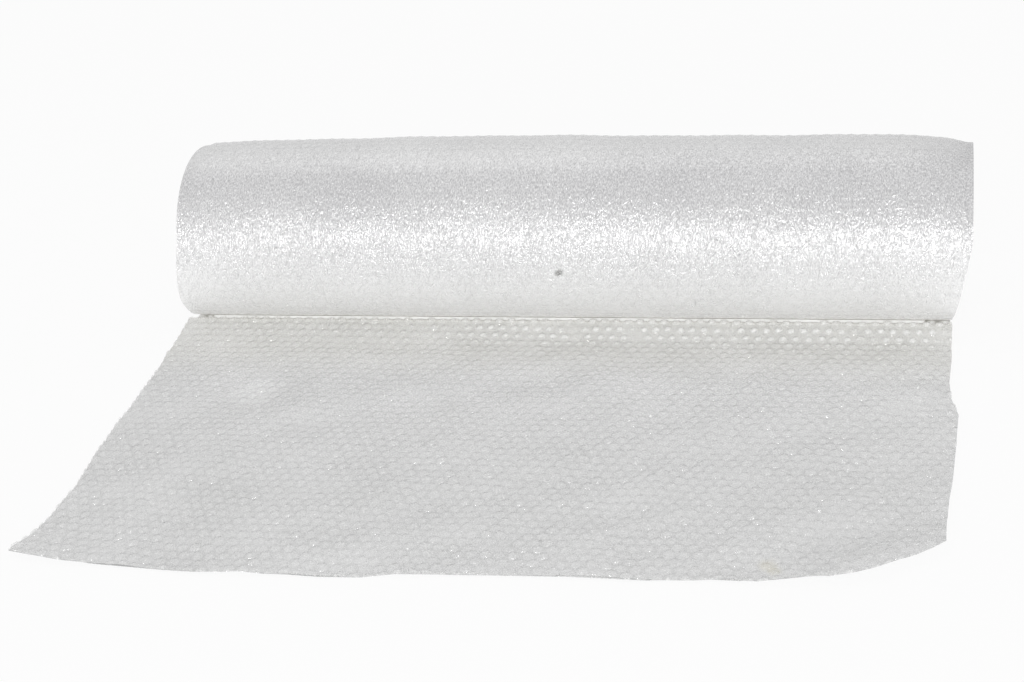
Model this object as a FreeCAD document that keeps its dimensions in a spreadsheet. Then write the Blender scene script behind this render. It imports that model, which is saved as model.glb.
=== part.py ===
import FreeCAD, Part
import Sketcher
import math
import os

# A roll of bubble wrap lying on the floor with its free end pulled out flat towards the front.
# It is one strip: a flat film with bubbles on its upper side. The strip comes from the roll's
# eye, winds outwards, passes under the roll, climbs a little over a crest where it leaves the
# roll, runs down a short ramp and lies flat to its free edge.
# While it is drawn, x = 0 is the free sheet's right edge, y = 0 is the roll's axis and z = 0
# is the floor. The finished strip is then placed with the bottom centre of its box at the origin.

SIZES = {
    # The wound roll
    "roll_radius": 88.0,
    "eye_radius": 22.0,
    "turn_pitch": 4.1,
    "turn_gap": 0.5,
    "flat_spot_width": 36.0,
    # The strip's width, and how far the turns have slipped to the right above the free sheet
    "strip_width": 750.0,
    "roll_slip": 20.0,
    "slip_height": 110.0,
    # The strip where it isn't wound tight: the thickness over the bubbles and between two rows
    "bubble_spacing": 11.5,
    "bubble_thickness": 4.0,
    "web_thickness": 2.4,
    # Where the strip leaves the roll and comes down to the floor
    "leave_angle": 28.0,
    "crest_radius": 9.0,
    "ramp_angle": 23.0,
    "foot_radius": 40.0,
    # The free edge, as distances in front of the roll's axis, and where it reaches furthest,
    # as a distance from the right side
    "left_reach": 445.0,
    "furthest_reach": 464.0,
    "furthest_across": 560.0,
    "right_reach": 450.0,
    # The worn corner on the right, and how far it stands outside a straight cut
    "corner_reach": 382.0,
    "corner_width": 150.0,
    "corner_bow": 15.0,
}

doc = FreeCAD.newDocument("bubble_wrap_roll")


def add_sizes():
    """Puts every driving size in a cell of its own, under its name."""
    sheet = doc.addObject("Spreadsheet::Sheet", "sizes")
    for row, (name, value) in enumerate(SIZES.items(), start=1):
        sheet.set(f"A{row}", name)
        sheet.set(f"B{row}", str(value))
        sheet.setAlias(f"B{row}", name)
    doc.recompute()
    return sheet


sizes = add_sizes()

roll_radius = sizes.roll_radius
leave = math.radians(sizes.leave_angle)
ramp = math.radians(sizes.ramp_angle)
wound_thickness = sizes.turn_pitch - sizes.turn_gap
row_spacing = sizes.bubble_spacing * math.sqrt(3) / 2

# The roll's weight flattens its underside: between these two angles each turn is straight.
flat_angle = math.asin(sizes.flat_spot_width / 2 / roll_radius)
axis_height = roll_radius * math.cos(flat_angle)
turn_count = int((roll_radius - sizes.eye_radius - wound_thickness) / sizes.turn_pitch)

# Room past the finished ends, for what the trims take off
spare = 10.0
section_x = -sizes.strip_width - spare


def section_point(y, z):
    """A point of the strip's cross-section, which is drawn past the left end."""
    return FreeCAD.Vector(section_x, y, z)


def line(start, end):
    return Part.LineSegment(start, end).toShape()


def arc(start, middle, end):
    return Part.Arc(start, middle, end).toShape()


# The wound turns

def turn_point(angle, depth):
    """A point of the spiral. The angle is taken from straight down towards the front, and falls
    as the strip runs inwards; depth is the distance inside the strip's outer face."""
    radius = roll_radius - sizes.turn_pitch * (leave - angle) / math.tau - depth
    return section_point(-radius * math.sin(angle), axis_height - radius * math.cos(angle))


def spiral_edges(depth):
    """The spiral's edges from where the strip leaves the roll to its inner end."""
    arcs_per_turn = 3
    arc_span = (math.tau - 2 * flat_angle) / arcs_per_turn

    def turn_arc(start, end):
        return arc(turn_point(start, depth), turn_point((start + end) / 2, depth), turn_point(end, depth))

    edges = [turn_arc(leave, flat_angle)]
    for turn in range(turn_count):
        angle = flat_angle - math.tau * turn
        flat_end = angle - 2 * flat_angle
        edges.append(line(turn_point(angle, depth), turn_point(flat_end, depth)))
        for step in range(arcs_per_turn):
            start = flat_end - step * arc_span
            edges.append(turn_arc(start, start - arc_span))
    return edges


def wound_section():
    """The cross-section of all the turns: one long spiral band with an outer and an inner end."""
    outer = spiral_edges(0.0)
    inner = spiral_edges(wound_thickness)
    inner_end = flat_angle - math.tau * turn_count
    ends = [
        line(turn_point(leave, 0.0), turn_point(leave, wound_thickness)),
        line(turn_point(inner_end, 0.0), turn_point(inner_end, wound_thickness)),
    ]
    return Part.Face(Part.Wire(Part.__sortEdges__(outer + inner + ends)))


# The free sheet

class FreePath:
    """The lower film's path from where it leaves the roll: over the crest, down the ramp, round
    the foot and along the floor. A distance along it gives a point and the upward direction."""

    def __init__(self):
        self.crest_y = -(roll_radius + sizes.crest_radius) * math.sin(leave)
        self.crest_z = axis_height - (roll_radius + sizes.crest_radius) * math.cos(leave)
        self.crest_length = sizes.crest_radius * (leave + ramp)
        ramp_top_y = self.crest_y - sizes.crest_radius * math.sin(ramp)
        ramp_top_z = self.crest_z + sizes.crest_radius * math.cos(ramp)
        ramp_drop = ramp_top_z - sizes.foot_radius * (1 - math.cos(ramp))
        self.ramp_top = (ramp_top_y, ramp_top_z)
        self.ramp_length = ramp_drop / math.sin(ramp)
        self.foot_y = ramp_top_y - ramp_drop / math.tan(ramp) - sizes.foot_radius * math.sin(ramp)
        self.foot_length = sizes.foot_radius * ramp
        self.floor_start = self.crest_length + self.ramp_length + self.foot_length
        reach = max(sizes.left_reach, sizes.furthest_reach, sizes.right_reach)
        self.length = self.floor_start + self.foot_y + reach

    def lean_at(self, distance):
        """The angle by which the film's upward direction leans back towards the roll."""
        if distance < self.crest_length:
            return leave - distance / sizes.crest_radius
        if distance < self.crest_length + self.ramp_length:
            return -ramp
        if distance < self.floor_start:
            return (distance - self.floor_start) / sizes.foot_radius
        return 0.0

    def point(self, distance, height):
        """The point this far along the film and this high above it."""
        lean = self.lean_at(distance)
        if distance < self.crest_length:
            y = self.crest_y + sizes.crest_radius * math.sin(lean)
            z = self.crest_z + sizes.crest_radius * math.cos(lean)
        elif distance < self.crest_length + self.ramp_length:
            along = distance - self.crest_length
            y = self.ramp_top[0] - along * math.cos(ramp)
            z = self.ramp_top[1] - along * math.sin(ramp)
        elif distance < self.floor_start:
            y = self.foot_y - sizes.foot_radius * math.sin(lean)
            z = sizes.foot_radius * (1 - math.cos(lean))
        else:
            y = self.foot_y - (distance - self.floor_start)
            z = 0.0
        return section_point(y + height * math.sin(lean), z + height * math.cos(lean))


def free_section():
    """The cross-section of the free sheet, its upper side a rounded ridge for each bubble row."""
    path = FreePath()
    ramp_end = path.crest_length + path.ramp_length
    film = [
        arc(path.point(0, 0), path.point(path.crest_length / 2, 0), path.point(path.crest_length, 0)),
        line(path.point(path.crest_length, 0), path.point(ramp_end, 0)),
        arc(path.point(ramp_end, 0), path.point((ramp_end + path.floor_start) / 2, 0),
            path.point(path.floor_start, 0)),
        line(path.point(path.floor_start, 0), path.point(path.length, 0)),
    ]
    rows = math.ceil(path.length / row_spacing)
    row = path.length / rows
    ridges = []
    for count in range(rows):
        start = count * row
        ridges.append(arc(path.point(start, sizes.web_thickness),
                          path.point(start + row / 2, sizes.bubble_thickness),
                          path.point(start + row, sizes.web_thickness)))
    ends = [
        line(path.point(0, 0), path.point(0, sizes.web_thickness)),
        line(path.point(path.length, 0), path.point(path.length, sizes.web_thickness)),
    ]
    return Part.Face(Part.Wire(Part.__sortEdges__(film + ridges + ends)))


def extrude(name, section):
    """Draws a cross-section and carries it along the roll's axis, past both ends."""
    profile = doc.addObject("Part::Feature", name + "_section")
    profile.Shape = section
    band = doc.addObject("Part::Extrusion", name)
    band.Base = profile
    band.DirMode = "Custom"
    band.Dir = FreeCAD.Vector(1, 0, 0)
    band.Solid = True
    band.setExpression("LengthFwd", f"sizes.strip_width + sizes.roll_slip + 2 * {spare}")
    return band


# The outlines that the ends and the free edge are trimmed to

def trim_block(name, role, corners, thickness):
    """A block with the outline given by its corners, on one of its own base planes. A corner is
    its place and, where the side after it is an arc, a place that this side bows through."""
    body = doc.addObject("PartDesign::Body", name)
    sketch = body.newObject("Sketcher::SketchObject", name + "_outline")
    plane = next(plane for plane in body.Origin.OriginFeatures if plane.Role == role)
    sketch.AttachmentSupport = [(plane, "")]
    sketch.MapMode = "FlatFace"

    def place(rules):
        across, up = (float(sketch.evalExpression(rule)) for rule in rules)
        return FreeCAD.Vector(across, up, 0)

    def pin(edge, end, rules):
        """Holds a point of the outline at the place that the rules work out from the sizes."""
        for kind, rule in zip(("DistanceX", "DistanceY"), rules):
            value = float(sketch.evalExpression(rule))
            number = sketch.addConstraint(Sketcher.Constraint(kind, -1, 1, edge, end, value))
            sketch.setExpression(f"Constraints[{number}]", rule)

    starts = [corner[0] for corner in corners]
    for (start, bow), end in zip(corners, starts[1:] + starts[:1]):
        if bow is None:
            edge = sketch.addGeometry(Part.LineSegment(place(start), place(end)))
        else:
            edge = sketch.addGeometry(Part.Arc(place(start), place(bow), place(end)))
            mark = sketch.addGeometry(Part.Point(place(bow)), True)
            pin(mark, 1, bow)
            sketch.addConstraint(Sketcher.Constraint("PointOnObject", mark, 1, edge))
        starts_first = sketch.getPoint(edge, 1).distanceToPoint(place(start)) < spare
        pin(edge, 1, start if starts_first else end)
        pin(edge, 2, end if starts_first else start)

    pad = body.newObject("PartDesign::Pad", name + "_pad")
    pad.Profile = sketch
    pad.SideType = "Symmetric"
    pad.setExpression("Length", thickness)
    doc.recompute()
    return body


def common(name, band, block):
    kept = doc.addObject("Part::Common", name)
    kept.Base = band
    kept.Tool = block
    return kept


def wound_turns():
    """The turns, whose ends stand straight above and slant back to the free sheet below."""
    left = "-sizes.strip_width"
    slipped_left = "sizes.roll_slip - sizes.strip_width"
    top = "3 * sizes.roll_radius"
    ends = trim_block("roll_ends", "XZ_Plane", [
        ((left, "0"), None),
        (("0", "0"), None),
        (("sizes.roll_slip", "sizes.slip_height"), None),
        (("sizes.roll_slip", top), None),
        ((slipped_left, top), None),
        ((slipped_left, "sizes.slip_height"), None),
    ], "4 * sizes.roll_radius")
    return common("wound_turns", extrude("turns", wound_section()), ends)


def free_sheet():
    """The free sheet, with its bowed front edge and its worn right corner."""
    left = "-sizes.strip_width"
    front_bow = ("-sizes.furthest_across", "-sizes.furthest_reach")
    corner_bow = ("-sizes.corner_width / 2",
                  "-(sizes.right_reach + sizes.corner_reach) / 2 - sizes.corner_bow")
    outline = trim_block("sheet_outline", "XY_Plane", [
        ((left, "0"), None),
        ((left, "-sizes.left_reach"), front_bow),
        (("-sizes.corner_width", "-sizes.right_reach"), corner_bow),
        (("0", "-sizes.corner_reach"), None),
        (("0", "0"), None),
    ], "2 * sizes.roll_radius")
    return common("free_sheet", extrude("sheet", free_section()), outline)


bubble_wrap = doc.addObject("Part::Fuse", "bubble_wrap")
bubble_wrap.Base = wound_turns()
bubble_wrap.Tool = free_sheet()
bubble_wrap.Label = "bubble_wrap"
doc.recompute()
box = bubble_wrap.Shape.BoundBox
bubble_wrap.Placement = FreeCAD.Placement(
    FreeCAD.Vector(-box.Center.x, -box.Center.y, -box.ZMin), FreeCAD.Rotation())
doc.recompute()

for made in doc.Objects:
    if "Invalid" in made.State or "Error" in made.State:
        raise RuntimeError(f"{made.Name} failed: {made.State}")
shape = bubble_wrap.Shape
if shape.isNull() or not shape.isValid() or len(shape.Solids) != 1:
    raise RuntimeError("the strip isn't one valid solid")

wound_length = math.pi * turn_count * (2 * roll_radius - turn_count * sizes.turn_pitch) / 1000
print(f"{turn_count} turns hold about {wound_length:.2f} m of strip")
print(f"solid of {shape.Volume / 1e6:.3f} litres, box {shape.BoundBox}")

os.makedirs("parts", exist_ok=True)
shape.exportStep("parts/bubble_wrap.step")
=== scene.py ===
# %% [markdown]
# A roll of bubble wrap, with its free end pulled out over the floor.
# The real thing is one long strip: a flat film, and welded to it a second film blown into
# bubbles. The strip is wound with its bubbles inwards, so the roll shows its flat film outside.
# Where it comes out from under the roll it lies with its bubbles up.
# The lesson follows the strip: one bubble is modelled, it is repeated into flat fields, the
# fields are cut as the sheet was cut, and then they are rolled up and laid out in the
# frame's own place.

# %% Load the frame
import math

import bpy
import numpy as np
from mathutils import Matrix, Vector


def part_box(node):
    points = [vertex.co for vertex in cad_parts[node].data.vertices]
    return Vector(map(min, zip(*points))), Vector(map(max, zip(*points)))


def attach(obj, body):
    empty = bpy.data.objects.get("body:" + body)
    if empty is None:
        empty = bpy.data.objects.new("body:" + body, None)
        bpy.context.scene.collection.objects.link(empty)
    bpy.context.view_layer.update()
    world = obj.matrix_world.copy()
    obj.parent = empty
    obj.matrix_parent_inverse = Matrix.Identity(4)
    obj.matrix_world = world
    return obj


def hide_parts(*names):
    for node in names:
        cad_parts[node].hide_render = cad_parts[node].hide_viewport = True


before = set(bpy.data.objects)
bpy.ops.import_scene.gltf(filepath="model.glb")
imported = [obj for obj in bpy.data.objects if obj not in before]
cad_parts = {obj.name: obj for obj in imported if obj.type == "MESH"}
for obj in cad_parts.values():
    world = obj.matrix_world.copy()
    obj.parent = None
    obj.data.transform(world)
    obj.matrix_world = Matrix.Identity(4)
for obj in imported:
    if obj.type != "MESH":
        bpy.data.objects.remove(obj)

bpy.context.view_layer.update()

# %% [markdown]
# All sizes are in metres. The strip is 65 bubbles wide. A bubble is 10 mm across and 4 mm
# high, and its neighbours stand 11.5 mm away, six round each one, so the rows across the
# strip are closer together than that.

# %% Sizes of the strip and the roll
STRIP_WIDTH = 0.750
BUBBLE_SPACING = 0.0115
ROW_SPACING = BUBBLE_SPACING * math.sqrt(3) / 2
BUBBLE_HEIGHT = 0.0040
WEB_THICKNESS = 0.0004

ROLL_RADIUS = 0.088
TURN_PITCH = 0.0041
WOUND_LENGTH = 5.40
FLAT_SPOT = 0.036
FLAT_ANGLE = math.asin(FLAT_SPOT / 2 / ROLL_RADIUS)
AXIS_HEIGHT = ROLL_RADIUS * math.cos(FLAT_ANGLE)
LEAVE_ANGLE = math.radians(28)
ROLL_SLIP = 0.020
SLIP_HEIGHT = 0.110
FURTHEST_REACH = 0.464

node_low, node_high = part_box("bubble_wrap")
AXIS_Y = node_low[1] + FURTHEST_REACH
RIGHT_X = node_low[0] + STRIP_WIDTH
print("the strip's solid reaches from", tuple(node_low), "to", tuple(node_high))
print(f"the roll's axis is at y = {AXIS_Y:.4f}, {AXIS_HEIGHT:.4f} above the floor")

# %% [markdown]
# A place on the strip has three numbers. Across runs from 0 at the right side to minus the
# width at the left. Along is measured from the line where the strip leaves the roll: the
# free sheet is positive, the wound strip negative. Height is the distance from the flat film
# towards the bubbles. These functions turn such places into the room's x, y and z. They work
# on whole arrays, because a field of bubbles has a hundred thousand points.
# The roll has slid to the right at its top, so its ends lean. Its middle and its left stand
# a little higher, it sags at both ends, and its left end is pushed in near the floor.

# %% Where the wound strip goes
RIGHT_SAG, RIGHT_DROOP, LEFT_SAG = 0.0045, 0.0045, 0.0030
CROWN, LEFT_CROWN = 0.0030, 0.0040
WAVE_HEIGHT = 0.0005
PUSHED_IN, PUSHED_IN_LOW = 0.0035, 0.0030


def smooth_step(values, start, end):
    """0 at start, 1 at end, with a soft rise between them."""
    share = np.clip((values - start) / (end - start), 0, 1)
    return share * share * (3 - 2 * share)


def slip(z):
    """How far to the right the roll has slid at a height above the floor."""
    return ROLL_SLIP * np.clip(z / SLIP_HEIGHT, 0, 1)


def place_wound(across, along, height):
    """Winds the strip inwards from the leaving line, a spiral that is flat where it rests."""
    tightening = TURN_PITCH / math.tau
    turned = (ROLL_RADIUS - np.sqrt(ROLL_RADIUS**2 + 2 * tightening * along)) / tightening
    angle = LEAVE_ANGLE - turned
    from_below = (angle + math.pi) % math.tau - math.pi
    radius = ROLL_RADIUS - tightening * turned - height
    pressed = np.abs(from_below) < FLAT_ANGLE
    radius = np.where(pressed, radius * math.cos(FLAT_ANGLE) / np.cos(from_below), radius)
    up = -np.cos(angle)
    middle = 1 - (across / STRIP_WIDTH * 2 + 1) ** 2
    sag = RIGHT_SAG * smooth_step(across, -0.11, 0.0) ** 2 + LEFT_SAG * smooth_step(across, -0.735, -0.75)
    sag = sag + RIGHT_DROOP * smooth_step(across, -0.025, 0.0)
    waves = WAVE_HEIGHT * np.sin(across * 61 + 2.0 * np.sin(angle)) * np.cos(2.3 * angle + across * 17)
    crown = CROWN * middle + LEFT_CROWN * smooth_step(across, -0.20, -0.50)
    bent = (crown - sag) * np.clip(up, 0, 1) ** 2 + waves * (up > -0.7)
    radius = radius + bent * radius / ROLL_RADIUS
    y = AXIS_Y - radius * np.sin(angle)
    z = AXIS_HEIGHT + radius * up
    pushed_in = PUSHED_IN + PUSHED_IN_LOW * smooth_step(z, 0.050, 0.015)
    return RIGHT_X + across + slip(z) + pushed_in * smooth_step(across, -0.71, -0.75), y, z


half_a_turn = place_wound(np.array([-STRIP_WIDTH / 2]), np.array([-math.pi * ROLL_RADIUS]), np.zeros(1))
print("half a turn in, the film is at", [round(float(number[0]), 4) for number in half_a_turn])

# %% [markdown]
# The free sheet starts on a small crest against the roll, comes down a ramp and lies on the
# floor. The ramp is steeper on the right than on the left. Each stretch is a straight run or
# an arc, so every point's place is a formula of its distance along the film.

# %% Where the free sheet goes
CREST_RADIUS = 0.009
RAMP_LEFT, RAMP_RIGHT = math.radians(11), math.radians(23)
FOOT_LEFT, FOOT_RIGHT = 0.085, 0.038


def lay_free(across, along, height):
    """Lays the strip out from the leaving line, without the folds it got from handling."""
    share = smooth_step(across, -0.62, -0.30)
    ramp = RAMP_LEFT + (RAMP_RIGHT - RAMP_LEFT) * share
    foot = FOOT_LEFT + (FOOT_RIGHT - FOOT_LEFT) * share
    crest_y = -(ROLL_RADIUS + CREST_RADIUS) * math.sin(LEAVE_ANGLE)
    crest_z = AXIS_HEIGHT - (ROLL_RADIUS + CREST_RADIUS) * math.cos(LEAVE_ANGLE)
    top_y = crest_y - CREST_RADIUS * np.sin(ramp)
    top_z = crest_z + CREST_RADIUS * np.cos(ramp)
    drop = top_z - foot * (1 - np.cos(ramp))
    crest_end = CREST_RADIUS * (LEAVE_ANGLE + ramp)
    ramp_end = crest_end + drop / np.sin(ramp)
    floor_start = ramp_end + foot * ramp
    foot_y = top_y - drop / np.tan(ramp) - foot * np.sin(ramp)

    stretches = [along < crest_end, along < ramp_end, along < floor_start]
    lean = np.select(stretches, [LEAVE_ANGLE - along / CREST_RADIUS, -ramp,
                                 (along - floor_start) / foot], 0.0)
    y = np.select(stretches, [crest_y + CREST_RADIUS * np.sin(lean),
                              top_y - (along - crest_end) * np.cos(ramp),
                              foot_y - foot * np.sin(lean)], foot_y - (along - floor_start))
    z = np.select(stretches, [crest_z + CREST_RADIUS * np.cos(lean),
                              top_z - (along - crest_end) * np.sin(ramp),
                              foot * (1 - np.cos(lean))], 0.0)
    return (RIGHT_X + across + slip(z), AXIS_Y + y + height * np.sin(lean),
            z + height * np.cos(lean))


FLAT_BEYOND = 0.3


def along_at_reach(across, reach):
    """The distance along the film to a place on the floor this far in front of the roll's axis."""
    y = lay_free(np.array([across]), np.array([FLAT_BEYOND]), np.array([0.0]))[1][0]
    return FLAT_BEYOND + reach - (AXIS_Y - y)


for across in (-0.70, -0.05):
    print(f"{across:.2f} across, the film is {along_at_reach(across, 0.4):.4f} long to a reach of 0.4")

# %% [markdown]
# The camera stands in front of the roll, near its right end, and looks down on it. Its place
# and turn were worked out from the photograph's straight lines, so it is put there by its own
# three directions rather than by hand.

# %% Camera
FOCAL_LENGTH, SENSOR_WIDTH = 63.94, 36.0
CAMERA_DISTANCE, CAMERA_HEIGHT = 1.5675, 0.797

bpy.ops.object.select_all(action="DESELECT")
bpy.ops.object.camera_add()
camera = bpy.context.object
camera.name = "camera"
camera.data.lens = FOCAL_LENGTH
camera.data.sensor_width = SENSOR_WIDTH
camera_right = Vector((0.97233, 0.21114, -0.09998))
camera_up = Vector((-0.01047, 0.46693, 0.88423))
camera_back = Vector((0.23339, -0.85872, 0.45622))
turn = Matrix((camera_right, camera_up, camera_back)).transposed().to_4x4()
camera.matrix_world = Matrix.Translation((RIGHT_X, AXIS_Y - CAMERA_DISTANCE, CAMERA_HEIGHT)) @ turn
bpy.context.scene.camera = camera
print("the camera stands at", tuple(round(x, 3) for x in camera.location))

# %% [markdown]
# Bubble wrap is one bubble over and over, so one bubble is modelled with care and few faces.
# It could be a dome cut from a sphere, but then the web round it would not meet its
# neighbours. Here a six-sided patch of film is inset to a round rim, the rim is inset again
# and raised to a shoulder, and the top is poked up, which gives a blister with rounded sides.
# The patches fit together like honeycomb.

# %% One bubble
RIM_WIDTH = 0.0011
SHOULDER_HEIGHT = 0.0031


def edit_only(piece):
    """Opens one piece in edit mode with everything in it selected."""
    if bpy.context.object and bpy.context.object.mode == "EDIT":
        bpy.ops.object.mode_set(mode="OBJECT")
    bpy.ops.object.select_all(action="DESELECT")
    piece.select_set(True)
    bpy.context.view_layer.objects.active = piece
    bpy.ops.object.mode_set(mode="EDIT")
    bpy.ops.mesh.select_mode(type="FACE")
    bpy.ops.mesh.select_all(action="SELECT")


def blister(name, web, shoulder, top):
    """One bubble on its patch of film, with its web, shoulder and top at these heights."""
    bpy.ops.object.select_all(action="DESELECT")
    bpy.ops.mesh.primitive_circle_add(vertices=6, radius=BUBBLE_SPACING / math.sqrt(3),
                                      fill_type="NGON", location=(0, 0, web))
    piece = bpy.context.object
    piece.name = name
    bpy.ops.object.transform_apply(location=True)
    edit_only(piece)
    bpy.ops.mesh.subdivide()
    bpy.ops.mesh.select_all(action="SELECT")
    bpy.ops.mesh.inset(thickness=RIM_WIDTH)
    bpy.ops.transform.tosphere(value=1.0)
    if shoulder:
        bpy.ops.mesh.inset(thickness=RIM_WIDTH, depth=shoulder - web)
        bpy.ops.mesh.poke(offset=top - shoulder)
    else:
        bpy.ops.mesh.poke(offset=top - web)
    bpy.ops.object.mode_set(mode="OBJECT")
    print(f"{name}: {len(piece.data.polygons)} faces")
    return piece


free_bubble = blister("free_bubble", WEB_THICKNESS, SHOULDER_HEIGHT, BUBBLE_HEIGHT)

# %% [markdown]
# The strip's pattern comes back every two rows. So two rows are made across the whole width
# and cut to exactly one repeat. Their open edge is pulled down to the flat film's level and
# filled, which closes the film underneath. The walls where one repeat meets the next would
# lie inside the strip, so they are taken away. The flat film loses the points that it
# doesn't need and is divided evenly, so that it can bend.
# The repeat is then copied down the strip, welded, and closed at both ends. The Array
# modifier does the copying, so no bubble is placed by hand.

# %% Repeat a bubble into a field
WELD_DISTANCE = 0.0001
SAME_PLACE = 1e-6
SQUARE_ON = 0.999


def repeat(piece, count, step):
    """Copies a piece in a line and welds the copies where they touch."""
    line = piece.modifiers.new("line", "ARRAY")
    line.count = count
    line.use_relative_offset = False
    line.use_constant_offset = True
    line.constant_offset_displace = step
    line.use_merge_vertices = True
    line.merge_threshold = WELD_DISTANCE
    bpy.ops.object.modifier_apply(modifier=line.name)


def cut_off(place, away, fill=False):
    """Cuts off what lies beyond an upright plane, in the piece that is being edited."""
    bpy.ops.mesh.select_all(action="SELECT")
    bpy.ops.mesh.bisect(plane_co=place, plane_no=away, use_fill=fill, clear_outer=True,
                        threshold=SAME_PLACE)


def choose_faces(piece, wanted):
    """Selects the faces that pass a test, in the piece that is being edited."""
    bpy.ops.mesh.select_mode(type="FACE")
    bpy.ops.mesh.select_all(action="DESELECT")
    bpy.ops.object.mode_set(mode="OBJECT")
    faces = piece.data.polygons
    faces.foreach_set("select", [wanted(face) for face in faces])
    bpy.ops.object.mode_set(mode="EDIT")


def close_underneath():
    """Pulls the open edge of the edited piece down to the flat film's level and fills it."""
    bpy.ops.mesh.select_mode(type="EDGE")
    bpy.ops.mesh.select_all(action="DESELECT")
    bpy.ops.mesh.select_non_manifold(use_wire=False, use_multi_face=False, use_non_contiguous=False,
                                     use_verts=False)
    bpy.ops.mesh.extrude_edges_move()
    bpy.ops.transform.resize(value=(1, 1, 0), center_override=(0, 0, 0))
    bpy.ops.mesh.edge_face_add()


def divide_flat_film(piece, right, width, columns):
    """Gives the flat film under one repeat two rows of plain faces, in some columns."""
    choose_faces(piece, lambda face: face.normal.z < -SQUARE_ON or face.center.z < SAME_PLACE)
    bpy.ops.mesh.dissolve_limited(angle_limit=0.001)
    bpy.ops.mesh.hide(unselected=True)
    seams = [((0, ROW_SPACING, 0), (0, 1, 0))]
    seams += [((right - width * column / columns, 0, 0), (1, 0, 0)) for column in range(1, columns)]
    for place, away in seams:
        bpy.ops.mesh.select_all(action="SELECT")
        bpy.ops.mesh.bisect(plane_co=place, plane_no=away, threshold=SAME_PLACE)
    bpy.ops.mesh.reveal(select=False)


def make_field(piece, right, width, rows, columns):
    """Makes a closed field of bubbles from one: it runs left from right, and up from y = 0."""
    bubbles = math.ceil(width / BUBBLE_SPACING) + 1
    piece.data.transform(Matrix.Translation((right - BUBBLE_SPACING / 2, -0.5 * ROW_SPACING, 0)))
    repeat(piece, bubbles, (-BUBBLE_SPACING, 0, 0))
    repeat(piece, 2, (BUBBLE_SPACING / 2, ROW_SPACING, 0))
    repeat(piece, 2, (0, 2 * ROW_SPACING, 0))
    edit_only(piece)
    cut_off((right, 0, 0), (1, 0, 0))
    cut_off((right - width, 0, 0), (-1, 0, 0))
    cut_off((0, 0, 0), (0, -1, 0))
    cut_off((0, 2 * ROW_SPACING, 0), (0, 1, 0))
    close_underneath()
    choose_faces(piece, lambda face: abs(face.normal.y) > SQUARE_ON)
    bpy.ops.mesh.delete(type="FACE")
    divide_flat_film(piece, right, width, columns)
    bpy.ops.mesh.select_all(action="SELECT")
    bpy.ops.mesh.normals_make_consistent(inside=False)

    bpy.ops.object.mode_set(mode="OBJECT")
    repeat(piece, rows // 2, (0, 2 * ROW_SPACING, 0))
    edit_only(piece)
    bpy.ops.mesh.fill_holes(sides=0)
    bpy.ops.object.mode_set(mode="OBJECT")
    print(f"{piece.name}: {rows} rows, {len(piece.data.polygons)} faces")
    return piece


free_sheet = make_field(free_bubble, 0.0, STRIP_WIDTH, 44, 22)
free_sheet.name = "free_sheet"

# %% [markdown]
# The free edge was cut with a blade in one long, slightly crooked stroke, and its right corner
# was cut away at a slant. The cuts are planes through the places where the photograph shows
# the edge. The mesh is closed, so each cut is filled, and the film keeps its thickness there.

# %% Cut the free edge
FREE_EDGE = [(-0.751, 0.452), (-0.700, 0.4605), (-0.555, 0.467), (-0.200, 0.455), (-0.129, 0.452),
             (-0.083, 0.447), (-0.048, 0.436), (-0.025, 0.421), (0.001, 0.397)]
edge_places = [(across, along_at_reach(across, reach)) for across, reach in FREE_EDGE]

# In the field the free edge is at the top of y, so the wound end is at y = 0.
edit_only(free_sheet)
for (x1, y1), (x2, y2) in zip(edge_places, edge_places[1:]):
    cut_off((x1, y1, 0), (y1 - y2, x2 - x1, 0), fill=True)
bpy.ops.object.mode_set(mode="OBJECT")

# %% [markdown]
# The free sheet is film that has been handled. It has long shallow folds, a few sharp creases,
# a right corner that curls up off the floor with wrinkles beside the cut, and sides that are
# pulled in and out of line. A cloth simulation could make such folds, but not these ones. So
# they are moved in as soft ridges along lines that are read off the photograph.
# Each fold is: its two ends (across, reach), its width and its height. The two sides are
# lists of a reach and of how far to the right the side is out of line there.

# %% Folds of the free sheet
FOLDS = [
    ((-0.276, 0.402), (-0.191, 0.357), 0.006, 0.0030),
    ((-0.240, 0.335), (-0.160, 0.136), 0.010, 0.0022),
    ((-0.046, 0.330), (-0.020, 0.288), 0.005, 0.0035),
    ((-0.125, 0.290), (-0.045, 0.290), 0.004, -0.0010),
    ((-0.180, 0.309), (-0.060, 0.307), 0.004, -0.0010),
    ((-0.675, 0.091), (-0.474, 0.105), 0.008, 0.0018),
    ((-0.700, 0.400), (-0.560, 0.180), 0.030, 0.0030),
    ((-0.540, 0.440), (-0.400, 0.250), 0.035, 0.0022),
    ((-0.330, 0.300), (-0.300, 0.120), 0.030, 0.0016),
    ((-0.120, 0.230), (-0.010, 0.150), 0.012, 0.0030),
    ((-0.100, 0.180), (-0.005, 0.105), 0.009, 0.0022),
    ((-0.160, 0.400), (-0.070, 0.340), 0.018, 0.0030),
]
RIGHT_SIDE = [(0.03, 0.001), (0.088, 0.003), (0.116, 0.002), (0.144, 0.001), (0.156, 0.002), (0.170, 0.003),
              (0.182, 0.006), (0.195, 0.009), (0.245, 0.007), (0.291, 0.005), (0.329, 0.002), (0.371, 0.0)]
LEFT_SIDE = [(0.108, 0.001), (0.139, 0.0045), (0.160, 0.006), (0.197, 0.0065), (0.232, 0.006), (0.253, 0.006),
             (0.305, 0.0095), (0.330, 0.0115), (0.353, 0.0160), (0.379, 0.013), (0.402, 0.013), (0.425, 0.009),
             (0.447, 0.0)]
CURL_HEIGHT, WRINKLE_HEIGHT, WRINKLE_WIDTH = 0.0065, 0.0022, 0.015
TIP_LIFT = 0.0025


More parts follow.
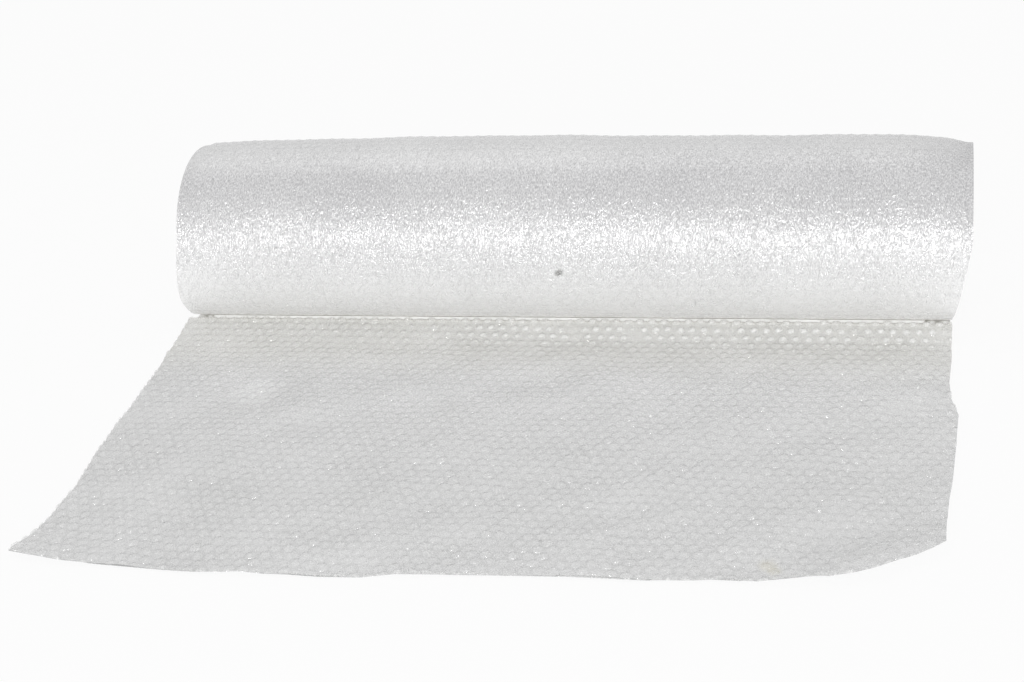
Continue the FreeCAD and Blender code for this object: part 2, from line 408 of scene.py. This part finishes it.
def fold_height(across, reach):
    """How far the folds lift the film at each place."""
    lift = np.zeros_like(across)
    for (x1, y1), (x2, y2), width, height in FOLDS:
        length = math.hypot(x2 - x1, y2 - y1)
        ahead = ((across - x1) * (x2 - x1) + (reach - y1) * (y2 - y1)) / length
        beside = ((across - x1) * (y2 - y1) - (reach - y1) * (x2 - x1)) / length
        ends = smooth_step(ahead, -0.02, 0.02) * smooth_step(ahead, length + 0.02, length - 0.02)
        lift += height * ends * np.exp(-(beside / width) ** 2)
    return lift


def corner_curl(across, reach):
    """The slanted corner lifts off the floor and is wrinkled along its cut."""
    (x1, y1), (x2, y2) = FREE_EDGE[5], FREE_EDGE[8]
    length = math.hypot(x2 - x1, y2 - y1)
    inside = ((across - x1) * (y2 - y1) - (reach - y1) * (x2 - x1)) / length
    near = smooth_step(inside, 0.050, 0.0) * smooth_step(across, -0.15, -0.07)
    ripples = 0.5 + 0.5 * np.cos(inside / WRINKLE_WIDTH * math.tau + across * 25)
    wrinkles = WRINKLE_HEIGHT * ripples * smooth_step(inside, 0.085, 0.01) * smooth_step(across, -0.16, -0.09)
    return near * CURL_HEIGHT + wrinkles


def place_free(across, along, height):
    """Lays the strip out from the leaving line, folds and all."""
    settled = smooth_step(along, 0.030, 0.080)
    reach = along - along_at_reach(-0.4, 0.4) + 0.4
    waves = (0.0009 * np.sin(across * 38 + reach * 21) * np.sin(reach * 47 - across * 9)
             + 0.0006 * np.sin(across * 83 - reach * 35 + 1.3) + 0.0005 * np.sin(reach * 96 + across * 44)
             + 0.0004 * np.sin(across * 171 + reach * 120) + 0.0016)
    lift = settled * (np.maximum(waves + fold_height(across, reach), 0) + corner_curl(across, reach))
    tip = smooth_step(across, -0.62, -0.75) * smooth_step(reach, 0.33, 0.46)
    lift = lift + TIP_LIFT * tip
    x, y, z = lay_free(across, along, height)
    right_out = np.interp(reach, *np.array(RIGHT_SIDE).T) * smooth_step(across, -0.16, 0.0)
    left_in = np.interp(reach, *np.array(LEFT_SIDE).T) * smooth_step(across, -0.58, -0.75)
    crooked = 0.0012 * np.sin(across * 52) + 0.0008 * np.sin(across * 131 + 1)
    pulled_in = (0.0060 * np.exp(-((across + 0.34) / 0.08) ** 2)
                 + 0.0050 * np.exp(-((across + 0.19) / 0.08) ** 2))
    crooked = (crooked - pulled_in) * smooth_step(reach, 0.36, 0.45)
    return x + right_out + left_in, y - crooked, z + lift


print(f"{len(FOLDS)} folds, the highest {max(fold[3] for fold in FOLDS) * 1000:.1f} mm")

# %% [markdown]
# Moving a field into place loses where each point was on the strip. So three things are
# written into the mesh first: a UV map of the strip in metres, which the patterns of the film
# will follow, a number that is 0 on the web and 1 on top of a bubble, and one that tells the
# bubble film from the flat film under it.
# No two bubbles of a handled sheet are alike: most are a little soft and lean over, and a few
# have burst. So each one sinks and leans by its own random amount. The amounts come from a
# fixed seed, which gives the same sheet on every run.

# %% Put a field in its place
FULLEST, FULLNESS_LOST = 0.86, 0.46
BURST_SHARE, BURST_FULLNESS = 0.03, 0.25
MOST_LEAN = 0.22
SOFT_CORNER = math.radians(64)
rough_handling = np.random.default_rng(7)


def points_of(mesh):
    """All points of a mesh, as a row of x, a row of y and a row of z."""
    spots = np.empty(len(mesh.vertices) * 3)
    mesh.vertices.foreach_get("co", spots)
    return spots.reshape(-1, 3).T.copy()


def soften(x, y, z, right):
    """Lets every bubble of a field sink and lean by its own amount."""
    row = np.floor(y / ROW_SPACING).astype(int) + 1
    column = np.round((right - x) / BUBBLE_SPACING - 0.5 * (row % 2 == 0)).astype(int) + 1
    shape = row.max() + 2, column.max() + 2
    fullness = FULLEST - FULLNESS_LOST * rough_handling.random(shape) ** 1.5
    fullness[rough_handling.random(shape) < BURST_SHARE] = BURST_FULLNESS
    lean_x, lean_y = rough_handling.uniform(-MOST_LEAN, MOST_LEAN, (2, *shape))
    above = np.maximum(z - WEB_THICKNESS, 0)
    sunk = above * fullness[row, column]
    return x + sunk * lean_x[row, column], y + sunk * lean_y[row, column], z - above + sunk


def put_in_place(piece, place, start, turned_over=False, base=0.0, rise=BUBBLE_HEIGHT, soft=False):
    """Writes the strip's map into a field, then moves its points to where the strip lies.

    The strip begins at the distance start along the film. A field that is turned over has its
    bubbles away from the roll's axis. The base is the height of the field's flat film. A soft
    field has its bubbles sink and lean."""
    mesh = piece.data
    x, y, z = points_of(mesh)
    along = start + y
    web = np.where(z < WEB_THICKNESS * 0.5, 0.0, 1.0)
    bulge = np.clip((z - WEB_THICKNESS) / (rise - WEB_THICKNESS), 0, 1)
    for name, numbers in (("bulge", bulge), ("bubble_side", web)):
        mesh.attributes.new(name, "FLOAT", "POINT").data.foreach_set("value", numbers.astype(np.float32))
    corners = np.empty(len(mesh.loops), dtype=np.int32)
    mesh.loops.foreach_get("vertex_index", corners)
    strip_map = np.stack([x, along], 1)[corners].ravel().astype(np.float32)
    mesh.uv_layers.new(name="strip").uv.foreach_set("vector", strip_map)

    if soft:
        x, y, z = soften(x, y, z, x.max())
        along = start + y
    height = base - z if turned_over else base + z
    mesh.vertices.foreach_set("co", np.stack(place(x, along, height), 1).ravel())
    edit_only(piece)
    bpy.ops.mesh.normals_make_consistent(inside=False)
    bpy.ops.object.mode_set(mode="OBJECT")
    bpy.ops.object.shade_smooth_by_angle(angle=SOFT_CORNER)
    mesh.calc_loop_triangles()
    low, high = points_of(mesh).min(1), points_of(mesh).max(1)
    print(f"{piece.name}: {len(mesh.loop_triangles)} triangles, from {low.round(4)} to {high.round(4)}")


put_in_place(free_sheet, place_free, 0.0, soft=True)

# %% [markdown]
# The outer turn is what shows of the roll. Its flat film is on the outside, but each bubble
# still presses a shallow pillow into it. It is made in the same way from a much lower bubble,
# turned over so that its pillows point away from the axis, and wound for a little more than
# one turn, so that its inner end hides behind the crest.

# %% The outer turn
PILLOW_HEIGHT = 0.0009
low_bubble = blister("low_bubble", WEB_THICKNESS, 0, PILLOW_HEIGHT)
outer_rows = 60
outer_turn = make_field(low_bubble, 0.0, STRIP_WIDTH, outer_rows, 16)
outer_turn.name = "outer_turn"
put_in_place(outer_turn, place_wound, -outer_rows * ROW_SPACING, True, WEB_THICKNESS, PILLOW_HEIGHT)

# %% [markdown]
# The turns under it show only at the ends of the roll, where every turn ends in a row of
# half and whole bubbles. Bubbles over the whole width would be two million triangles that
# nobody sees, so only a band of two bubbles at each end has them, and the middle is a plain
# film of the same thickness. It ends where the bands begin.

# %% The turns inside
BAND_WIDTH = 2 * BUBBLE_SPACING
INNER_WIDTH = STRIP_WIDTH - 2 * BAND_WIDTH - 0.001
INNER_SHOULDER, INNER_BUBBLE, INNER_FILM = 0.0022, 0.0029, 0.0026
BAND_BASE, FILM_BASE = 0.0006, 0.0007
band_rows = 2 * int(WOUND_LENGTH / ROW_SPACING / 2)
for name, right in (("right_turns", 0.0), ("left_turns", BAND_WIDTH - STRIP_WIDTH)):
    wound_bubble = blister(name, WEB_THICKNESS, INNER_SHOULDER, INNER_BUBBLE)
    band = make_field(wound_bubble, right, BAND_WIDTH, band_rows, 2)
    put_in_place(band, place_wound, -band_rows * ROW_SPACING, False, BAND_BASE, INNER_BUBBLE)

bpy.ops.object.select_all(action="DESELECT")
bpy.ops.mesh.primitive_grid_add(x_subdivisions=14, y_subdivisions=720, size=1)
inner_turns = bpy.context.object
inner_turns.name = "inner_turns"
edit_only(inner_turns)
bpy.ops.transform.resize(value=(INNER_WIDTH, band_rows * ROW_SPACING, 1))
bpy.ops.transform.translate(value=(-STRIP_WIDTH / 2, band_rows * ROW_SPACING / 2, 0))
bpy.ops.mesh.extrude_region_move(TRANSFORM_OT_translate={"value": (0, 0, INNER_FILM)})
bpy.ops.object.mode_set(mode="OBJECT")
put_in_place(inner_turns, place_wound, -band_rows * ROW_SPACING, False, FILM_BASE, INNER_FILM)
roll_pieces = [outer_turn, bpy.data.objects["right_turns"], bpy.data.objects["left_turns"], inner_turns]

# %% [markdown]
# A finish is a set of nodes that feed one shader. Sums of patterns are easier to read as sums,
# so a small class wraps a socket and turns each plus, minus and times into a Math node. All
# other nodes come from one method that takes the node's type, its settings and its inputs.

# %% Write finishes as sums


class Amount:
    """A number that changes over the surface, which can be added to and multiplied."""

    def __init__(self, finish, socket):
        self.finish, self.socket = finish, socket

    def _sum(self, kind, first, second):
        return self.finish.add("ShaderNodeMath", {"operation": kind}, {0: first, 1: second})

    def __add__(self, other):
        return self._sum("ADD", self, other)

    def __sub__(self, other):
        return self._sum("SUBTRACT", self, other)

    def __rsub__(self, other):
        return self._sum("SUBTRACT", other, self)

    def __mul__(self, other):
        return self._sum("MULTIPLY", self, other)

    __radd__, __rmul__ = __add__, __mul__


class Finish:
    """A material that is built up node by node."""

    def __init__(self, name):
        self.material = bpy.data.materials.new(name)
        self.material.use_nodes = True
        self.nodes = self.material.node_tree.nodes
        self.nodes.clear()

    def add(self, kind, settings=None, inputs=None, output=0):
        """Adds a node: its settings first, then the values or links of its sockets."""
        node = self.nodes.new(kind)
        for name, value in (settings or {}).items():
            setattr(node, name, value)
        for name, value in (inputs or {}).items():
            if isinstance(value, Amount):
                self.material.node_tree.links.new(value.socket, node.inputs[name])
            else:
                node.inputs[name].default_value = value
        return node if output is None else Amount(self, node.outputs[output])

    def clamp(self, amount):
        """Keeps an amount between 0 and 1."""
        return self.add("ShaderNodeClamp", {}, {"Value": amount})

    def step(self, amount, start, end):
        """0 below start, 1 above end, with a soft rise between."""
        return self.add("ShaderNodeMapRange", {"interpolation_type": "SMOOTHSTEP"},
                        {"Value": amount, "From Min": start, "From Max": end})

    def attribute(self, name):
        """A number that was written into the mesh."""
        return self.add("ShaderNodeAttribute", {"attribute_name": name}, {}, "Fac")

    def film(self, stretch=(1, 1, 1)):
        """Places on the strip in metres, from its own map."""
        strip = self.add("ShaderNodeUVMap", {"uv_map": "strip"})
        if stretch == (1, 1, 1):
            return strip
        return self.add("ShaderNodeMapping", {}, {"Vector": strip, "Scale": stretch})

    def along(self):
        """The distance along the strip from where it leaves the roll."""
        return self.add("ShaderNodeSeparateXYZ", {}, {"Vector": self.film()}, "Y")

    def across(self):
        """The place across the strip, 0 at its right side."""
        return self.add("ShaderNodeSeparateXYZ", {}, {"Vector": self.film()}, "X")

    def object_height(self):
        """The height above the floor."""
        place = self.add("ShaderNodeTexCoord", {}, {}, "Object")
        return self.add("ShaderNodeSeparateXYZ", {}, {"Vector": place}, "Z")

    def noise(self, where, scale, detail=2.0, distortion=0.0):
        """A cloudy pattern with this many features to the metre."""
        return self.add("ShaderNodeTexNoise", {}, {"Vector": where, "Scale": scale, "Detail": detail,
                                                   "Distortion": distortion})

    def spots(self, marks):
        """Small round marks on the film: each is its place on the strip and its radius."""
        total = 0
        for place, radius in marks:
            away = self.add("ShaderNodeVectorMath", {"operation": "DISTANCE"},
                            {0: self.film(), 1: (*place, 0)}, 1)
            total = total + (1 - self.step(away, radius * 0.3, radius))
        return total

    def shade(self, amount, low, high):
        """A grey or tinted colour between two, by an amount."""
        low, high = [tint if isinstance(tint, Amount) else (*tint, 1) for tint in (low, high)]
        return self.add("ShaderNodeMix", {"data_type": "RGBA"}, {0: amount, 6: low, 7: high}, 2)

    def surface(self, shader):
        """Ends the material in a shader. Its glow is too faint to count as a lamp."""
        self.add("ShaderNodeOutputMaterial", {}, {"Surface": shader}, None)
        self.material.cycles.emission_sampling = "NONE"
        return self.material


def dress(piece, finish):
    """Puts a finish on a piece as its only one."""
    piece.data.materials.clear()
    piece.data.materials.append(finish)
    print(f"{piece.name} wears {finish.name}")


print("operators of an amount:", [name for name in vars(Amount) if name.startswith("__")][2:])

# %% [markdown]
# The film is clear polythene that has gone milky, with a broken gloss, because its skin is
# creased all over. Glass with real refraction would need many bounces through thousands of
# bubbles, and would lose its look outside this program. So the film is a pale glossy skin
# that is partly see-through, the bubbles more so than the flat film under them, and its
# creases are bumps.
# The free sheet is cloudy in places and has a fine grain. On the ramp its colour is painted a
# little warmer, painted light for the warm light that comes through the roll, and groups of its
# bubbles are painted nearly white as bright dots, a painted highlight. The walls of its bubbles
# are painted paler, painted light against the shade at their rims. Light can't come through
# thousands of layers here to the crease under the roll, so a faint painted glow stands in for it.

# %% Film of the free sheet
BUBBLE_TINT = (0.93, 0.93, 0.925)
FLAT_TINT = (0.62, 0.62, 0.62)
# painted light: warm tint for the light that comes through the roll onto the ramp
PAINTED_WARM_LIGHT_TINT = (0.80, 0.79, 0.73)
# painted highlight: the nearly white tint of bubble tops that stand in for glints
PAINTED_GLINT_TINT = (1, 1, 0.99)
PATCH_TINT = (0.98, 0.98, 0.98)
DIRT_TINT = (0.30, 0.30, 0.29)
STAIN_TINT = (0.72, 0.68, 0.52)
GLOW = (0.065, 0.063, 0.056)
SHEET_DIRT = [((-0.403, along_at_reach(-0.403, 0.362)), 0.0022),
              ((-0.311, along_at_reach(-0.311, 0.409)), 0.0022)]
SHEET_PATCH = [((-0.630, along_at_reach(-0.630, 0.180)), 0.034)]
SHEET_STAIN = [((-0.131, along_at_reach(-0.131, 0.430)), 0.010),
               ((-0.125, along_at_reach(-0.125, 0.438)), 0.008)]
CLOUDS, GROUPS, CREASES, DIMPLES, GRAIN = 14, 34, 230, 450, 560
CREST_ENDS, PAINTED_GLINTS_END, RAMP_ENDS = (0.000, 0.008), (0.02, 0.065), (0.04, 0.12)
LEFT_OF_PAINTED_GLINTS = (-0.52, -0.40)


def free_film():
    """Milky, partly see-through film with its bubbles up."""
    film = Finish("free_film")
    strip = film.film()
    bulge = film.attribute("bulge")
    bubble_side = film.attribute("bubble_side")
    # painted light: the rising walls of the bubbles are painted paler and clearer, against the shade at their
    # rims
    painted_light_walls = film.step(bulge, 0.0, 0.5) * (1 - film.step(bulge, 0.6, 1.0))
    cloudy = film.noise(strip, CLOUDS, 2)
    creases = film.noise(strip, CREASES, 2, 1.5)
    dimples = film.noise(strip, DIMPLES, 1, 0.8)
    grain = film.noise(strip, GRAIN, 1)
    near_roll = 0.5 - 0.5 * film.step(film.along(), *CREST_ENDS)
    on_ramp = 1 - film.step(film.along(), *RAMP_ENDS)
    # painted highlight: groups of bubble tops near the crest are painted nearly white and opaque as glints
    groups = (film.step(film.noise(strip, GROUPS, 1), 0.30, 0.50)
              * (0.35 + 0.65 * film.step(film.across(), *LEFT_OF_PAINTED_GLINTS)))
    painted_glints = film.step(bulge, 0.60, 0.95) * (1 - film.step(film.along(), *PAINTED_GLINTS_END)) * groups

    pale = bubble_side * 0.5 + painted_light_walls * 0.4 + (cloudy - 0.5) * 0.8 + (grain - 0.5) * 4.0
    colour = film.shade(film.clamp(pale), FLAT_TINT, BUBBLE_TINT)
    # painted light: the ramp is painted warmer, for the warm light that has come through the roll
    colour = film.shade(on_ramp * 0.6, colour, PAINTED_WARM_LIGHT_TINT)
    colour = film.shade(painted_glints, colour, PAINTED_GLINT_TINT)
    colour = film.shade(film.spots(SHEET_STAIN) * 0.6, colour, STAIN_TINT)
    colour = film.shade(film.spots(SHEET_PATCH) * 0.45, colour, PATCH_TINT)
    colour = film.shade(film.clamp(film.spots(SHEET_DIRT)), colour, DIRT_TINT)
    alpha = film.clamp(0.70 - 0.40 * bubble_side - 0.16 * painted_light_walls + 0.6 * painted_glints + (cloudy - 0.5) * 0.3
                       + (grain - 0.5) * 0.8)
    crumpled = (creases * 1.1 + dimples * 0.6 * bubble_side) * (1 - 0.7 * on_ramp)
    skin = film.add("ShaderNodeBump", {}, {"Strength": 1.0, "Distance": 0.0010, "Height": crumpled}, "Normal")
    glow = film.shade(near_roll, (0, 0, 0), GLOW)
    return film.surface(film.add("ShaderNodeBsdfPrincipled", {}, {
        "Base Color": colour, "Alpha": alpha, "Roughness": 0.10, "Normal": skin, "IOR": 2.3,
        "Specular IOR Level": 1.0, "Emission Color": glow, "Emission Strength": 1.0}))


dress(free_sheet, free_film())

# %% [markdown]
# The roll shows the flat film of its outer turn, drawn tight over the bubbles behind it. Its
# colour is painted nearly white low on the roll, painted light from the floor, and painted
# greyer higher up, a painted shade, with a darker dot over each bubble. Near the floor a faint
# painted glow stands in for light that comes through the film. Its fine creases are drawn out
# along the strip, and they break the lamp's streak into glitter. Grooves in the mesh would do
# that too, but not as fine as this, so they are bumps and colour.

# %% Film of the roll
# painted light and shade: white for where the floor would light the roll, grey for higher up, which is also
# the grey of the dots and grain
PAINTED_FLOOR_LIGHT_WHITE, GREY_OF_PAINTED_SHADE_AND_PATTERN = (0.97, 0.97, 0.97), (0.51, 0.505, 0.52)
ROLL_DIRT = [((-0.366, -0.454), 0.0055)]
ROLL_CLOUDS, SQUIGGLES, FINE_CREASES, ROLL_GRAIN = 9, 105, 300, 400
UNDERSIDE, UPPER_HALF, TOP = (0.0125, 0.021), (0.05, 0.13), (0.160, 0.176)


def roll_film():
    """Glossy flat film that is stretched over a layer of bubbles."""
    film = Finish("roll_film")
    strip = film.film()
    drawn = film.film((2.2, 1, 1))
    bulge = film.attribute("bulge")
    web = 1 - film.step(bulge, 0.0, 0.35)
    dot = film.step(bulge, 0.55, 1.0)
    cloudy = film.noise(strip, ROLL_CLOUDS, 3)
    grain = film.noise(drawn, ROLL_GRAIN, 2)
    squiggle = film.noise(drawn, SQUIGGLES, 2, 1.6)
    ridge = film.add("ShaderNodeMath", {"operation": "ABSOLUTE"}, {0: squiggle - 0.5})
    fine = film.noise(drawn, FINE_CREASES, 1, 0.8)
    height = film.object_height()
    # painted shade by height: the film is painted greyer higher on the roll and nearly white low down, as
    # painted light from the floor
    high = film.step(height, *UPPER_HALF) * (1 - 0.6 * film.step(height, *TOP))

    pattern = (web * 0.10 + dot * (0.45 * high - 0.15) + (grain - 0.5) * (1.2 + 1.4 * high)
               + (cloudy - 0.5) * 0.4)
    colour = film.shade(film.clamp(high * 0.70 - 0.06 + pattern), PAINTED_FLOOR_LIGHT_WHITE, GREY_OF_PAINTED_SHADE_AND_PATTERN)
    colour = film.shade(film.spots(ROLL_DIRT), colour, DIRT_TINT)
    crumpled = 0.55 * fine - ridge * 2.2
    skin = film.add("ShaderNodeBump", {}, {"Strength": 1.0, "Distance": 0.0011, "Height": crumpled}, "Normal")
    # painted glow: low on the roll the film glows faintly, standing in for light that comes through the film
    # into the crease
    glow = film.shade(1 - film.step(height, *UNDERSIDE), (0, 0, 0), GLOW)
    return film.surface(film.add("ShaderNodeBsdfPrincipled", {}, {
        "Base Color": colour, "Roughness": 0.07, "Normal": skin, "IOR": 2.2, "Specular IOR Level": 1.0,
        "Emission Color": glow, "Emission Strength": 1.0}))


dress(outer_turn, roll_film())

# %% [markdown]
# The turns inside show only as a spiral at the two ends of the roll. They are many layers of
# the same clear film, which let light in between them, so their finish is plain and nearly
# white, less glossy than the outer turn, with the same faint glow.

# %% Film of the turns inside
PALE_TINT, SHADED_TINT = (0.94, 0.94, 0.94), (0.78, 0.78, 0.78)


def wound_film():
    """Plain pale film for the turns that show only at the ends."""
    film = Finish("wound_film")
    strip = film.film()
    colour = film.shade(film.noise(strip, 30, 3), PALE_TINT, SHADED_TINT)
    creases = film.noise(strip, 190, 3, 1.5)
    skin = film.add("ShaderNodeBump", {}, {"Strength": 1.0, "Distance": 0.0006, "Height": creases}, "Normal")
    return film.surface(film.add("ShaderNodeBsdfPrincipled", {}, {
        "Base Color": colour, "Roughness": 0.25, "Normal": skin, "IOR": 1.5,
        "Emission Color": (*GLOW, 1), "Emission Strength": 1.0}))


inside = wound_film()
for piece in roll_pieces[1:]:
    dress(piece, inside)

# %% [markdown]
# The photograph has a white floor with no horizon, so the floor is a large white plane. The
# camera sees it mostly as plain white, and a little of its true shading is kept, which leaves
# the soft shadow that sets the roll on the ground. The film's gloss sees it as white too.

# %% Floor
FLOOR_SIZE, BELOW_THE_ROLL = 14, 0.0004
SEEN_WHITE, MIRRORED_WHITE = 0.9, 0.7
bpy.ops.object.select_all(action="DESELECT")
bpy.ops.mesh.primitive_plane_add(size=FLOOR_SIZE, location=(0, 0, -BELOW_THE_ROLL))
floor = bpy.context.object
floor.name = "floor"
ground = Finish("floor")
path = ground.add("ShaderNodeLightPath", {}, {}, "Is Camera Ray")
glossy = ground.add("ShaderNodeLightPath", {}, {}, "Is Glossy Ray")
matt = ground.add("ShaderNodeBsdfDiffuse", {}, {"Color": (0.96, 0.96, 0.96, 1)})
white = ground.add("ShaderNodeEmission", {}, {"Color": (1, 1, 1, 1), "Strength": 1.0})
plain = SEEN_WHITE * path + MIRRORED_WHITE * glossy
dress(floor, ground.surface(ground.add("ShaderNodeMixShader", {}, {0: plain, 1: matt, 2: white})))

# %% [markdown]
# Three lamps and a graded sky light the roll. A narrow low strip in front gives the long
# bright streak across it, at the height where the film faces halfway between the lamp and the
# camera. A wide soft lamp beside it fills the front, and a large one overhead lights the top
# and the free sheet. The sky is brighter at the horizon than above, as in a white studio. One
# bright lamp would do for the streak, but it would leave the rest of the roll too dark.

# %% Lamps


def soft_lamp(name, place, target, size, watts):
    """A flat rectangular lamp that faces a place."""
    bpy.ops.object.select_all(action="DESELECT")
    bpy.ops.object.light_add(type="AREA", location=place)
    lamp = bpy.context.object
    lamp.name = name
    lamp.data.shape = "RECTANGLE"
    lamp.data.size, lamp.data.size_y = size
    lamp.data.energy = watts
    lamp.rotation_euler = (Vector(target) - Vector(place)).to_track_quat("-Z", "Y").to_euler()


soft_lamp("front", (-0.45, -2.45, 0.66), (-0.1, 0.15, 0.09), (1.1, 0.12), 9)
soft_lamp("fill", (0.8, -2.75, 0.62), (0.15, 0.15, 0.09), (3.4, 1.1), 31)
soft_lamp("overhead", (0.0, 0.7, 2.3), (0, 0.1, 0), (2.6, 1.8), 7)

world = bpy.data.worlds.new("studio")
bpy.context.scene.world = world
world.use_nodes = True
tree = world.node_tree
sky = tree.nodes["Background"]
sky.inputs["Color"].default_value = (1, 1, 1, 1)
where = tree.nodes.new("ShaderNodeTexCoord")
split = tree.nodes.new("ShaderNodeSeparateXYZ")
fade = tree.nodes.new("ShaderNodeMapRange")
fade.inputs["From Min"].default_value, fade.inputs["From Max"].default_value = 0.15, 0.95
fade.inputs["To Min"].default_value, fade.inputs["To Max"].default_value = 0.85, 0.46
tree.links.new(where.outputs["Generated"], split.inputs[0])
tree.links.new(split.outputs["Z"], fade.inputs["Value"])
tree.links.new(fade.outputs[0], sky.inputs["Strength"])
bpy.context.scene.view_settings.view_transform = "Standard"

# %% [markdown]
# Each piece is attached to the frame's root body, and the part that they stand in for is hidden.

# %% Attach the pieces to the frame
for piece in [free_sheet, *roll_pieces]:
    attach(piece, "root")
    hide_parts("bubble_wrap")

# %% [markdown]
